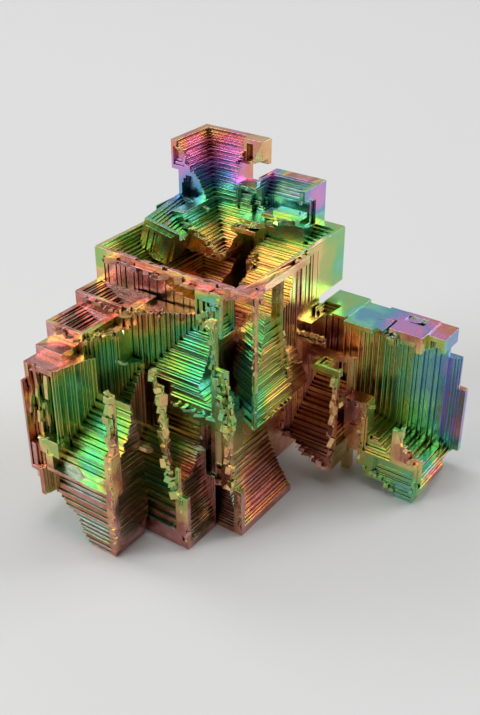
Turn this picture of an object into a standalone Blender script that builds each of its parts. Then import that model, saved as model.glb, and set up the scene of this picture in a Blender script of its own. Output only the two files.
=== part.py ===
"""Bismuth hopper crystal: cubes that grew faster at their edges than at their middles.

The specimen is one grown-together cluster, so it is one solid. Each growth is a few blocks
joined into one body, with stepped hollows (hoppers) sunk into its faces. Every growth but one
lies on the same lattice, so its faces are square to x, y and z.

Lengths in the tables of sizes below are millimetres on that lattice: x to the right, y to the
back and z up from the surface that the crystal stands on.
"""

import random
from math import radians

import bmesh
import bpy
from mathutils import Euler, Matrix, Vector

MM = 0.001

# Driving dimensions, in millimetres.
STEP = 2.0  # one growth terrace
STEP_SPREAD = 0.4  # how much one terrace differs from the next, as a share of its size
RIM = 1.8  # flat lip round a hopper
WALL = 1.2  # thin side wall of an open hopper
HAIR = 0.15  # what an upright side of a hopper still loses, so that no two steps share a face
OVERLAP = 0.5  # how far a stack of terraces runs into the body under it
BEYOND = 20.0  # how far a hollow's cutter stands out of the face

CUBE_LEFT, CUBE_RIGHT = -22.5, 13.0
CUBE_FRONT, CUBE_BACK = -15.5, 19.8
CUBE_LOW, CUBE_TOP = 20.5, 48.2
TOWER_TOP = 62.5
BACK_BLOCK_TOP = 56.4

# Three open frames stand in front of the cube, each lower and further forward than the last.
FIRST_FRONT, SECOND_FRONT, THIRD_FRONT = -21.8, -29.9, -37.8
FIRST_TOP, SECOND_TOP, THIRD_TOP = 41.5, 38.7, 34.6
FRAME_LEFT = -22.3

LOW_CUBE_FRONT, LOW_CUBE_RIGHT = -21.0, 15.2
ARM_FRONT, ARM_BACK, ARM_RIGHT, ARM_TOP = 6.3, 20.1, 39.4, 34.0
ROOT_FRONT, ROOT_TOP = 2.0, 28.0

# The middle of the footprint, which becomes the part's origin.
ORIGIN = (7.78, -8.2, 0.0)

AXES = {"X": (0, 1, 2), "Y": (1, 0, 2), "Z": (2, 0, 1)}
growth_steps = random.Random(7)


def clear_scene():
    for obj in list(bpy.data.objects):
        bpy.data.objects.remove(obj)


def collection(name):
    found = bpy.data.collections.new(name)
    bpy.context.scene.collection.children.link(found)
    return found


def helper(obj):
    """Keep a block or a cutter in the file, out of the finished part."""
    obj.hide_render = True
    obj.display_type = "WIRE"
    helpers.objects.link(obj)
    return obj


def from_bmesh(bm, name):
    for vert in bm.verts:
        vert.co = (vert.co - Vector(ORIGIN)) * MM
    mesh = bpy.data.meshes.new(name)
    bm.to_mesh(mesh)
    bm.free()
    return bpy.data.objects.new(name, mesh)


def cube_between(low, high):
    """A bmesh cube with its opposite corners at low and high."""
    bm = bmesh.new()
    bmesh.ops.create_cube(bm, size=1.0)
    for vert in bm.verts:
        for axis in range(3):
            middle, length = (low[axis] + high[axis]) / 2, high[axis] - low[axis]
            vert.co[axis] = middle + vert.co[axis] * length
    return bm


def block(x, y, z):
    """A solid block between two values on each axis."""
    return from_bmesh(cube_between(*zip(x, y, z)), "block")


def shares(count):
    """Unequal shares of one whole: the sizes of successive terraces."""
    sizes = [growth_steps.uniform(1 - STEP_SPREAD, 1 + STEP_SPREAD) for _ in range(count)]
    return [size / sum(sizes) for size in sizes]


def terraces(name, axis, sign, level, back, across, along, depth, narrows):
    """Steps that run from a level along an axis and get smaller as they go.

    across and along are the extents on the two other axes, and narrows holds what each of
    their four sides loses over the whole depth.
    """
    normal, first, second = AXES[axis]
    count = max(2, round(max(depth, *narrows) / STEP))
    narrows = [loss or HAIR for loss in narrows]
    risers, treads = shares(count), shares(count - 1)
    low, high = [0.0] * 3, [0.0] * 3
    low[first], high[first] = across
    low[second], high[second] = along
    low[normal], high[normal] = sorted((level - sign * back, level + sign * depth * risers[0]))
    bm = cube_between(low, high)
    bm.normal_update()
    face = max(bm.faces, key=lambda item: item.normal[normal] * sign)
    for riser, tread in zip(risers[1:], treads):
        face = bmesh.ops.extrude_discrete_faces(bm, faces=[face])["faces"][0]
        middle = face.calc_center_median()
        for vert in face.verts:
            for axis_number, (lower, upper) in ((first, narrows[:2]), (second, narrows[2:])):
                is_lower = vert.co[axis_number] < middle[axis_number]
                vert.co[axis_number] += tread * (lower if is_lower else -upper)
        face = bmesh.ops.extrude_discrete_faces(bm, faces=[face])["faces"][0]
        for vert in face.verts:
            vert.co[normal] += sign * depth * riser
    return from_bmesh(bm, name)


def hopper(side, level, across, along, depth, narrows):
    """The cutter for a stepped hollow that opens on one side, such as +Z, and narrows inwards."""
    sign = -1 if side[0] == "+" else 1
    return terraces("hopper", side[1], sign, level, BEYOND, across, along, depth, narrows)


def stack(side, level, across, along, height, narrows):
    """Steps of solid crystal that climb outwards on one side."""
    sign = 1 if side[0] == "+" else -1
    return terraces("stack", side[1], sign, level, OVERLAP, across, along, height, narrows)


def boolean(body, other, operation):
    modifier = body.modifiers.new(f"{operation.lower()} {other.name}", "BOOLEAN")
    modifier.operation = operation
    modifier.object = other


def growth(name, solids, hollows=()):
    """One grown body: its solids joined, then its hollows cut."""
    body, *more = solids
    body.name = name
    for solid in more:
        boolean(body, helper(solid), "UNION")
    for hollow in hollows:
        boolean(body, helper(hollow), "DIFFERENCE")
    return body


def main_cube():
    """The big upper cube. The middle of its top drops through a deep pit."""
    ledge = CUBE_LOW + 14.9  # underside of the far right corner, which overhangs
    solids = [
        block((CUBE_LEFT, 10.9), (CUBE_FRONT, CUBE_BACK), (CUBE_LOW, CUBE_TOP)),
        block((9.0, CUBE_RIGHT), (CUBE_FRONT, 11.0), (CUBE_LOW, CUBE_TOP)),
        block((9.0, CUBE_RIGHT), (10.0, CUBE_BACK), (ledge, CUBE_TOP)),
        block((CUBE_LEFT - 0.3, -20.0), (-15.0, 16.0), (24.0, 46.5)),
        block((-21.0, 2.0), (17.0, CUBE_BACK + 0.4), (24.0, 46.0)),
        block((-18.0, -8.0), (CUBE_FRONT - 0.8, -14.0), (42.0, 46.8)),
    ]
    top = hopper(
        "+Z", CUBE_TOP, (CUBE_LEFT + RIM, 11.8), (CUBE_FRONT + RIM, 17.9), 13.0, (17, 9, 5.5, 13.5)
    )
    pit = hopper("+Z", 38.0, (-3.0, 3.4), (-7.5, 3.6), 9.0, (1, 1, 1, 1))
    far_corner = hopper("+X", 10.9, (12.5, 24.0), (18.0, ledge), 7.0, (0, 0, 0, 0))
    front = hopper("-Y", CUBE_FRONT, (-20.4, 7.6), (25.0, 46.8), 5.5, (23, 0.4, 14, 0.5))
    near_corner = [
        hopper("-Y", CUBE_FRONT, (7.0, 16.0), (16.0, 46.4), 10.0, (0, 0, 0, 0)),
        hopper("+X", CUBE_RIGHT, (-16.5, -4.6), (16.0, 46.4), 5.6, (0, 0, 0, 0)),
    ]
    right = hopper("+X", CUBE_RIGHT, (-5.0, 15.6), (23.0, 46.8), 5.5, (0.2, 15, 8, 0.4))
    left = hopper("-X", CUBE_LEFT - 0.3, (-11.5, 13.5), (26.5, 44.0), 8.0, (9, 9, 5, 5))
    back = hopper("+Y", CUBE_BACK + 0.4, (-18.0, 0.5), (26.5, 44.0), 8.0, (6, 6, 5, 5))
    hollows = [top, pit, far_corner, front, *near_corner, right, left, back]
    return growth("bismuth_crystal", solids, hollows)


def near_spire():
    """The terraced wedge that fills the cube's near corner, with a rib up its edge."""
    return growth(
        "near_spire",
        [
            stack("+Z", 18.5, (7.6, 14.3), (-15.8, -2.6), 28.0, (0.2, 5.8, 6.6, 5.8)),
            block((11.8, 13.8), (-15.7, -14.0), (20.0, 47.2)),
            block((8.4, 13.0), (-15.2, -11.0), (44.8, 47.4)),
        ],
    )


def tower():
    """The back left tower, whose two walls step down and inwards to the middle."""
    shaft_top, foot_top = 57.2, 51.2
    solids = [
        block((-22.4, -8.4), (9.4, 20.0), (shaft_top - 0.3, TOWER_TOP)),
        block((-10.0, -6.4), (16.6, 20.0), (shaft_top + 0.4, TOWER_TOP)),
        block((-21.6, -10.6), (10.4, 19.7), (44.5, shaft_top)),
        block((-12.4, -6.0), (8.0, 19.4), (46.0, 53.0)),
        block((-21.0, 1.5), (1.0, 19.6), (43.0, foot_top)),
    ]
    hollows = [
        hopper("+Z", TOWER_TOP, (-20.8, 40.0), (-40.0, 18.5), 12.0, (7, 0, 0, 7.4)),
        hopper("+Z", foot_top - 0.6, (-14.2, 40.0), (-40.0, 11.8), 6.5, (9, 0, 0, 9)),
        hopper("-Y", 9.4, (-21.6, -19.6), (57.6, 61.2), 2.5, (0.3, 0.3, 0.8, 0.3)),
        hopper("-Y", 10.4, (-20.6, -16.6), (48.0, 56.0), 3.0, (0.3, 0.5, 3, 0.3)),
        hopper("+X", -6.4, (17.2, 19.2), (58.2, 61.0), 1.6, (0.3, 0.3, 0.3, 0.3)),
    ]
    return growth("tower", solids, hollows)


def back_block():
    """The block at the back of the cube, with a thin leaf of crystal over its front."""
    solids = [
        block((-5.6, 6.2), (8.6, 20.4), (44.0, BACK_BLOCK_TOP)),
        block((-2.6, 8.0), (5.2, 9.4), (50.4, 51.6)),
        block((-6.0, 3.0), (4.0, 12.0), (42.0, 50.0)),
    ]
    hollows = [
        hopper("+Z", BACK_BLOCK_TOP, (-4.8, 3.4), (6.0, 18.4), 5.5, (1.2, 1.2, 0.3, 8)),
        hopper("-Y", 4.0, (-6.5, 3.5), (38.0, 49.0), 5.0, (0, 3, 0, 1.5)),
        hopper("+Y", 20.4, (-4.0, 4.6), (46.0, 55.0), 4.0, (2, 2, 2, 2)),
    ]
    return growth("back_block", solids, hollows)


def first_frame():
    """The frame just in front of the cube: a flight of terraces with a post at its right."""
    front = FIRST_FRONT
    solids = [
        block((FRAME_LEFT, -7.6), (front, -14.8), (22.5, FIRST_TOP)),
        block((-10.0, 10.4), (front + 0.2, -14.6), (23.0, 36.0)),
        block((9.6, 12.0), (front + 0.2, -18.6), (24.0, FIRST_TOP + 2.3)),
        block((2.0, 8.4), (-16.0, -13.5), (38.0, 47.6)),
    ]
    hollows = [
        hopper("-Y", front, (-7.8, 10.2), (25.0, 80.0), 7.5, (8.5, 0.5, 15.5, 0)),
        hopper("+Z", FIRST_TOP, (-20.5, -9.0), (-20.6, -16.0), WALL, (3, 1, 1, 1)),
    ]
    return growth("first_frame", solids, hollows)


def second_frame():
    """The middle frame. Its right-hand post leans out to the right as it goes down."""
    front = SECOND_FRONT
    solids = [
        block((FRAME_LEFT, -12.8), (front, -21.0), (12.0, SECOND_TOP)),
        block((-16.0, 2.4), (front + 0.1, -21.2), (8.0, 30.8)),
        block((-10.0, 9.4), (front, -21.4), (0.0, 11.8)),
        block((-8.0, 5.6), (front + 0.2, -21.3), (5.0, 19.8)),
        block((-13.0, -3.0), (-26.0, -21.0), (22.0, 33.5)),
    ]
    hollows = [
        hopper("-Y", front, (-12.7, 2.4 - WALL), (17.0, 80.0), 8.4, (5.5, 0.4, 14, 0)),
        hopper("+Z", 27.0, (0.4, 3.0), (-27.4, -20.0), 1.5, (0, 0, 0, 0)),
        hopper("-Y", front, (-8.0, 5.6 - WALL), (3.5, 80.0), 7.0, (0.5, 0.5, 16, 0)),
        hopper("+X", 9.4, (front + WALL, -21.6), (1.5, 80.0), 9.5, (0.6, 0.6, 20, 0)),
        hopper("+Z", SECOND_TOP, (-20.8, -14.4), (-28.4, -22.4), WALL, (3, 1, 1, 1)),
    ]
    return growth("second_frame", solids, hollows)


def third_frame():
    """The front frame, with a smaller open box on its foot that steps in to a short base."""
    front, foot_front = THIRD_FRONT, THIRD_FRONT - 1.6
    solids = [
        block((-21.2, -14.8), (-34.0, -29.0), (10.0, THIRD_TOP + 1.4)),
        block((-20.6, 0.2), (front, -29.4), (9.0, THIRD_TOP)),
        block((-20.4, -15.6), (foot_front + 0.2, -33.0), (12.0, 31.4)),
        block((-18.2, -0.7), (foot_front, -30.0), (7.0, 14.6)),
        stack("-Z", 8.0, (-18.0, -0.9), (foot_front + 0.2, -29.6), 8.0, (10.5, 0.6, -0.2, 1.5)),
    ]
    hollows = [
        hopper("-Y", front, (-15.4, -1.2), (15.5, 80.0), 8.8, (3.6, 0.3, 12.5, 0)),
        hopper("+Z", 28.0, (-1.8, 2.0), (-35.0, -29.0), 1.5, (0, 0, 0, 0)),
        hopper("-Y", foot_front, (-15.4, -2.6), (7.4, 13.3), 5.6, (0.6, 0.4, 5, 0.2)),
        hopper("+X", 0.2, (-36.8, -28.2), (3.0, 31.6), 0.9, (0.6, 0.4, 12, 0)),
        hopper("-X", -21.2, (-37.0, -30.0), (15.0, 33.0), 3.0, (2, 2, 2, 2)),
        hopper("-Y", foot_front + 0.2, (-19.2, -16.6), (14.0, 30.0), 1.5, (0.3, 0.6, 1, 1)),
    ]
    return growth("third_frame", solids, hollows)


def low_cube():
    """The small cube low down at the front right, open on its front and right faces."""
    front, right = LOW_CUBE_FRONT, LOW_CUBE_RIGHT
    solids = [
        block((4.6, right), (front, -4.0), (0.0, 11.0)),
        block((5.2, 12.2), (front + 0.4, -5.0), (10.0, 24.0)),
        block((8.0, right - 0.6), (-16.0, -4.0), (8.0, 21.0)),
        block((9.5, 12.6), (front - 0.3, -17.5), (10.0, 26.0)),
    ]
    hollows = [
        hopper("-Y", front, (6.0, 13.2), (2.4, 9.6), 4.0, (1.6, 0.8, 4.5, 0.2)),
        hopper("-Y", front - 0.3, (5.8, 9.8), (13.0, 22.6), 4.0, (1, 0.4, 7.5, 0.5)),
        hopper("+X", right, (front + 1.6, -2.0), (2.4, 80.0), 7.0, (0.6, 0.5, 12, 0)),
    ]
    return growth("low_cube", solids, hollows)


def arm_root():
    """The open box that carries the arm out of the side of the cube."""
    solids = [
        block((8.6, 21.4), (ROOT_FRONT, 17.0), (3.5, ROOT_TOP)),
        block((5.0, 12.0), (4.0, 18.0), (14.0, 27.0)),
        block((7.0, 12.0), (6.5, 15.5), (24.0, 32.4)),
    ]
    hollows = [
        hopper("-Y", ROOT_FRONT, (9.8, 21.4 - WALL), (6.4, 27.0), 9.0, (3, 0.6, 12, 0.5)),
        hopper("+X", 21.4, (ROOT_FRONT + WALL, 9.0), (8.0, 80.0), 3.0, (0.5, 1, 8, 0)),
    ]
    return growth("arm_root", solids, hollows)


def arm():
    """The right arm: a long back wall of ribs over a hopper that is open to the right."""
    front, back, right, top = ARM_FRONT, ARM_BACK, ARM_RIGHT, ARM_TOP
    wall = [
        block((10.8, 18.0), (10.4, back), (14.0, top)),
        block((17.5, 23.4), (9.4, back - 1.5), (12.0, top - 0.6)),
        block((23.0, 33.6), (11.4, back - 0.7), (4.0, top)),
        block((33.0, 37.0), (14.0, back - 0.2), (2.0, top - 0.4)),
    ]
    end = [
        block((30.0, right - 1.4), (10.0, back + 1.9), (4.0, 26.5)),
        block((28.0, right), (front + 0.3, back + 2.9), (4.5, 19.2)),
        block((26.0, right - 1.2), (front + 0.2, 18.0), (2.0, 15.0)),
        block((24.5, right - 2.2), (front, 14.0), (0.5, 16.5)),
        block((33.0, right - 2.6), (front, 10.0), (0.0, 8.0)),
    ]
    hollows = [
        hopper("+X", right - 2.4, (7.4, 18.6), (5.0, 80.0), 20.0, (0.5, 9, 13, 0)),
        hopper("+X", right, (7.2, 21.4), (2.6, 80.0), 2.6, (0.2, 2.4, 2.4, 0)),
        hopper("+Z", 20.0, (33.4, 50.0), (0.0, 18.0), 16.0, (3.6, 0, 0, 12)),
        hopper("-Y", front, (25.6, 34.0), (3.6, 80.0), 6.0, (2.5, 0.6, 7, 0)),
        hopper("+Z", top, (24.4, 32.4), (12.6, 18.0), 1.5, (1, 1, 1, 1)),
    ]
    return growth("arm", [*wall, *end], hollows)


def underside():
    """The mass between the front frames and the arm, under the cube."""
    solids = [
        block((-18.0, 9.0), (-13.0, 14.0), (3.0, 24.0)),
        block((-19.0, -12.6), (-28.6, -12.0), (12.8, 26.0)),
        block((-16.0, -11.0), (8.0, 13.0), (0.0, 5.0)),
        block((19.5, 24.0), (6.0, 10.0), (0.0, 6.0)),
    ]
    hollows = [
        hopper("+Y", 14.0, (-15.0, 6.0), (6.0, 22.0), 8.0, (6, 6, 4, 4)),
        hopper("-X", -18.0, (-10.0, 6.5), (5.5, 20.0), 8.0, (6, 6, 4, 4)),
        hopper("-Z", 3.0, (-8.0, 6.6), (-11.0, 5.0), 9.0, (4, 4, 5, 5)),
    ]
    return growth("underside", solids, hollows)


def tilted_cube():
    """The one small cube off the lattice, leaning on the left rim of the big cube."""
    solids = [
        block((-4.4, 4.4), (-5.2, 5.0), (-3.5, 3.2)),
        block((-3.6, 3.4), (-4.8, 4.0), (-5.0, -3.0)),
    ]
    hollows = [
        hopper("+Z", 3.2, (-3.6, 8.0), (-8.0, 4.3), 3.2, (5.5, 0, 0, 0.4)),
        hopper("-Y", -5.2, (-3.2, 3.2), (-2.6, 1.2), WALL, (1, 1, 1, 1)),
    ]
    turn = Euler([radians(angle) for angle in (6.0, 15.0, -10.0)]).to_matrix().to_4x4()
    seat = Vector((-17.8, 3.4, 48.4)) * MM
    origin = Vector(ORIGIN) * MM
    about_seat = Matrix.Translation(seat - origin) @ turn @ Matrix.Translation(origin)
    for obj in (*solids, *hollows):
        obj.matrix_world = about_seat
    return growth("tilted_cube", solids, hollows)


def bismuth():
    """Bare metal under a thin film of oxide."""
    material = bpy.data.materials.new("bismuth")
    material.use_nodes = True
    shader = material.node_tree.nodes["Principled BSDF"]
    shader.inputs["Base Color"].default_value = (0.34, 0.42, 0.24, 1.0)
    shader.inputs["Metallic"].default_value = 1.0
    shader.inputs["Roughness"].default_value = 0.25
    return material


clear_scene()
helpers = collection("cutters_and_blocks")
crystal = main_cube()
collection("bismuth_hopper_crystal").objects.link(crystal)
for grow in (
    near_spire,
    tower,
    back_block,
    first_frame,
    second_frame,
    third_frame,
    low_cube,
    arm_root,
    arm,
    underside,
    tilted_cube,
):
    boolean(crystal, helper(grow()), "UNION")
crystal.data.materials.append(bismuth())
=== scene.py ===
import random
from math import pi, radians

import bpy
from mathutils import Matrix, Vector


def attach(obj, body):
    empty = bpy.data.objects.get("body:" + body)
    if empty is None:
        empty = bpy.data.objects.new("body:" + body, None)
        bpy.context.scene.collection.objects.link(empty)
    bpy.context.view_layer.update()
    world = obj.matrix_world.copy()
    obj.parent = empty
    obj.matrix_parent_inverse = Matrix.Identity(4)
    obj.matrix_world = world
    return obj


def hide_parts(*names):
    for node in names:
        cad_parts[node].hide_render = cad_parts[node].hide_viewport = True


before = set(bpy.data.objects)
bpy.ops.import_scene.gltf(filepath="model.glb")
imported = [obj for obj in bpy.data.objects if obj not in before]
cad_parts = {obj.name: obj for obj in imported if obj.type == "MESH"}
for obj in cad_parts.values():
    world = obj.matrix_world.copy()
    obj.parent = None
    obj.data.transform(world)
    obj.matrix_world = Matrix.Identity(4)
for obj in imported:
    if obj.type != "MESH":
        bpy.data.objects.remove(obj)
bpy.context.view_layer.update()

# The crystal grew on one cubic lattice, so sizes and places are millimetres on that lattice:
# x to the right, y to the back and z up from the table.
MM = 0.001
ORIGIN = Vector((7.78, -8.2, 0.0))  # the lattice point over the part's own origin
PITCH = 0.72  # one growth terrace
SPREAD = 0.55  # how far one terrace differs from the next, as a share of its size
HAIR = 0.12  # what an upright side of a hopper still loses over its depth
SLOT, SLOT_DEPTH = 0.13, 0.15  # the fine slot at the foot of each riser
OVERLAP = 0.5  # how far a stack runs into the body under it
SLOT_SHARE = 0.35  # the most of a tread that its slot may take
CRUMB_LEAN = 0.14  # how far crumbs lean off the lattice, in radians
CRUMB_SCATTER = 0.22  # how far crumbs stray from their edge, as a share of their size
CRUMB_SIZES = (0.35, 0.85)  # the smallest and the largest, as shares of the size asked for
CRUMB_FOOT, CRUMB_HEADS = 0.8, (0.4, 0.85)  # radius at the foot, and the range of it at the head
BEYOND = 20.0  # how far a cutter stands out of the face it cuts
OPEN, CLEAR = 80.0, 40.0  # where a hollow ends that has no far wall, both outside the crystal

CUBE_LEFT, CUBE_RIGHT = -22.5, 13.0
CUBE_FRONT, CUBE_BACK = -15.5, 19.8
CUBE_LOW, CUBE_TOP = 20.5, 48.2
TOWER_TOP = 62.5
BACK_BLOCK_TOP = 56.4
FIRST_FRONT, SECOND_FRONT, THIRD_FRONT = -21.8, -29.9, -37.8
FIRST_TOP, SECOND_TOP, THIRD_TOP = 41.5, 38.7, 34.6
FRAME_LEFT = -22.3
LOW_CUBE_FRONT, LOW_CUBE_RIGHT = -21.0, 15.2
ARM_FRONT, ARM_BACK, ARM_RIGHT, ARM_TOP = 6.3, 20.1, 39.4, 34.0
ROOT_FRONT = 2.0

AXES = {"X": (0, 1, 2), "Y": (1, 0, 2), "Z": (2, 0, 1)}
growth_steps = random.Random(11)
crumb_sizes = random.Random(23)


def point(x, y, z):
    """A lattice point in metres in the part's own frame."""
    return (Vector((x, y, z)) - ORIGIN) * MM


# ---------------------------------------------------------------- growing blocks and hoppers


def deselect():
    bpy.ops.object.select_all(action="DESELECT")


def block(x, y, z):
    """A solid block between two values on each axis."""
    deselect()
    low, high = Vector((x[0], y[0], z[0])), Vector((x[1], y[1], z[1]))
    bpy.ops.mesh.primitive_cube_add(
        size=1.0, location=point(*(low + high) / 2), scale=(high - low) * MM
    )
    bpy.ops.object.transform_apply(location=True, rotation=True, scale=True)
    return bpy.context.object


def crumbs(start, end, count, size, length=2.0):
    """Small crystals, a little off the lattice, that sprout along an edge or, cut away, nibble it.

    The length is how many times longer they are the way that the edge runs.
    """
    made = []
    start, end = Vector(start), Vector(end)
    along = (end - start).normalized()
    for index in range(count):
        place = start.lerp(end, (index + crumb_sizes.random()) / count)
        sizes = Vector([size * crumb_sizes.uniform(*CRUMB_SIZES) for _ in range(3)])
        for axis in range(3):
            place[axis] += size * crumb_sizes.uniform(-CRUMB_SCATTER, CRUMB_SCATTER)
            sizes[axis] *= 1 + (length - 1) * abs(along[axis])
        deselect()
        bpy.ops.mesh.primitive_cone_add(
            vertices=4,
            radius1=CRUMB_FOOT,
            radius2=crumb_sizes.uniform(*CRUMB_HEADS),
            depth=1.0,
            location=point(*place),
            rotation=[crumb_sizes.gauss(0.0, CRUMB_LEAN) for _ in range(2)]
            + [pi / 4 + crumb_sizes.gauss(0.0, CRUMB_LEAN)],
            scale=sizes * MM,
        )
        bpy.ops.object.transform_apply(location=True, rotation=True, scale=True)
        made.append(bpy.context.object)
    return made


def turned(solid, pivot, angles):
    """A solid that was grown round the lattice's zero point, turned and set down at a pivot."""
    deselect()
    solid.select_set(True)
    bpy.context.view_layer.objects.active = solid
    bpy.context.scene.cursor.location = point(0.0, 0.0, 0.0)
    bpy.ops.object.origin_set(type="ORIGIN_CURSOR")
    solid.location = point(*pivot)
    solid.rotation_euler = [radians(angle) for angle in angles]
    bpy.ops.object.transform_apply(location=True, rotation=True, scale=True)
    return solid


def select_face(solid, axis, sign):
    """Leave only the face that looks along an axis selected."""
    for group in (solid.data.vertices, solid.data.edges, solid.data.polygons):
        group.foreach_set("select", [False] * len(group))
    face = max(solid.data.polygons, key=lambda item: item.normal[axis] * sign)
    face.select = True


def shares(count):
    """Unequal shares of one whole: the sizes of successive terraces."""
    sizes = [growth_steps.uniform(1 - SPREAD, 1 + SPREAD) for _ in range(count)]
    return [size / sum(sizes) for size in sizes]


def terraces(side, sign, level, back, across, along, depth, narrows, pitch):
    """Steps that run from a level along an axis and get smaller as they go.

    Each tread has a fine slot in the corner where it meets a riser. A hopper's cutter makes the
    slot at the outer end of its step, and a solid stack has it at the inner end.
    """
    normal, first, second = AXES[side]
    narrows = [loss or HAIR for loss in narrows]
    count = max(2, round(max(depth, *narrows) / pitch))
    risers, treads = shares(count), shares(count - 1)
    carves = back == BEYOND
    extents = {first: across, second: along}
    first_end = level + sign * (depth * risers[0] + carves * SLOT_DEPTH)
    extents[normal] = sorted((level - sign * back, first_end))
    solid = block(extents[0], extents[1], extents[2])
    select_face(solid, normal, sign)
    bpy.ops.object.mode_set(mode="EDIT")
    bpy.ops.mesh.select_mode(type="FACE")
    sides = [list(across), list(along)]

    def narrow(share):
        scale, centre = Vector((1, 1, 1)), Vector()
        for axis, edges, (low, high) in zip((first, second), sides, (narrows[:2], narrows[2:])):
            width = edges[1] - edges[0]
            scale[axis] = 1 - (low + high) * share / width
            centre[axis] = edges[0] + width * low / (low + high)
            edges[0] += low * share
            edges[1] -= high * share
        bpy.ops.mesh.extrude_region_move()
        bpy.ops.transform.resize(value=scale, center_override=point(*centre))

    def push(distance):
        move = Vector()
        move[normal] = sign * distance * MM
        bpy.ops.mesh.extrude_region_move(TRANSFORM_OT_translate={"value": move})

    for index, (riser, tread) in enumerate(zip(risers[1:], treads)):
        slot = tread * min(SLOT_SHARE, SLOT / (max(narrows) * tread))
        narrow(slot if carves else tread - slot)
        push(-SLOT_DEPTH)
        narrow(tread - slot if carves else slot)
        more = SLOT_DEPTH if not carves or index < count - 2 else 0.0
        push(depth * riser + more)
    bpy.ops.object.mode_set(mode="OBJECT")
    return solid


def hopper(side, level, across, along, depth, narrows, pitch=PITCH):
    """The cutter for a stepped hollow that opens on one side, such as +Z, and narrows inwards."""
    sign = -1 if side[0] == "+" else 1
    return terraces(side[1], sign, level, BEYOND, across, along, depth, narrows, pitch)


def stack(side, level, across, along, height, narrows, pitch=PITCH):
    """Steps of solid crystal that climb outwards on one side."""
    sign = 1 if side[0] == "+" else -1
    return terraces(side[1], sign, level, OVERLAP, across, along, height, narrows, pitch)


def boolean(body, other, operation):
    """Join another solid to a body, or cut it away, and use it up."""
    deselect()
    bpy.context.view_layer.objects.active = body
    modifier = body.modifiers.new("grow", "BOOLEAN")
    modifier.operation = operation
    modifier.solver = "MANIFOLD"
    modifier.object = other
    bpy.ops.object.modifier_apply(modifier=modifier.name)
    bpy.data.objects.remove(other)


def growth(solids, hollows=(), sprouts=()):
    """One grown body: its solids joined, its hollows cut, then what sprouted on it later."""
    body, *more = solids
    for solid in more:
        boolean(body, solid, "UNION")
    for hollow in hollows:
        boolean(body, hollow, "DIFFERENCE")
    for solid in sprouts:
        boolean(body, solid, "UNION")
    return body


def keep_one_shell(body):
    """Drop the chips and closed bubbles that the cuts left loose."""
    deselect()
    body.select_set(True)
    bpy.context.view_layer.objects.active = body
    bpy.ops.mesh.separate(type="LOOSE")
    shells = sorted(bpy.context.selected_objects, key=lambda shell: len(shell.data.polygons))
    body.data = shells[-1].data
    for shell in shells:
        if shell is not body:
            bpy.data.objects.remove(shell)


# ---------------------------------------------------------------- the growths


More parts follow.
